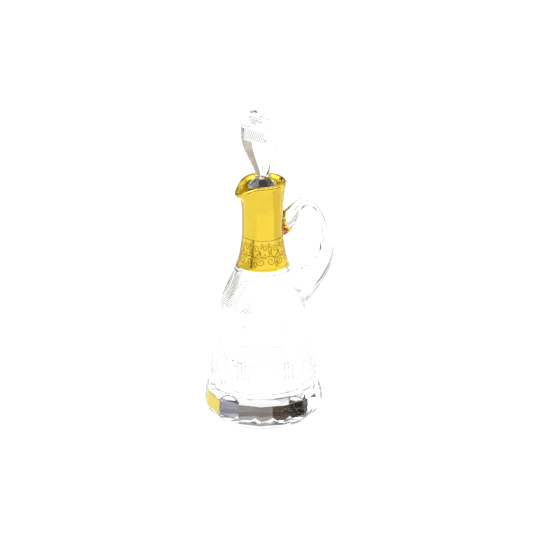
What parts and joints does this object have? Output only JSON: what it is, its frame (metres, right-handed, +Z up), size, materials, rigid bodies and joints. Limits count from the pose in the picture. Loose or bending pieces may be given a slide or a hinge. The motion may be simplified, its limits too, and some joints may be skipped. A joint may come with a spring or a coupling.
{
  "type": "glass carafe",
  "caption": "Clear cut-crystal carafe with a panelled foot, gilded neck and pouring lip, drawn glass handle and a lift-out faceted stopper.",
  "frame": {"origin": "centre of the foot's flat underside", "axes": "+Z up along the vessel's axis, -X towards the pouring spout, +X towards the handle, -Y towards the viewer"},
  "size_m": [0.1373, 0.1206, 0.317],
  "materials": {
    "crystal": "clear cut lead crystal, polished",
    "handle_glass": "clear drawn glass, fire polished",
    "etched_gold": "polished gold with an engraved scroll frieze",
    "polished_gold": "polished fired gold",
    "lip_gold": "polished fired gold",
    "stopper_glass": "clear cut lead crystal, ground plug",
    "foil_label": "bare yellow foil seal"
  },
  "bodies": {
    "vessel": {"vessel_body": "crystal", "handle": "handle_glass", "gilt_frieze_band": "etched_gold", "gilt_neck_sleeve": "polished_gold", "gilt_lip": "lip_gold", "foot_label": "foil_label"},
    "stopper_body": {"stopper": "stopper_glass"}
  },
  "joints": [
    {"name": "stopper_lift", "type": "slide", "parent": "vessel", "child": "stopper_body", "axis": [0, 0, 1], "range_m": [0, 0.05]}
  ]
}
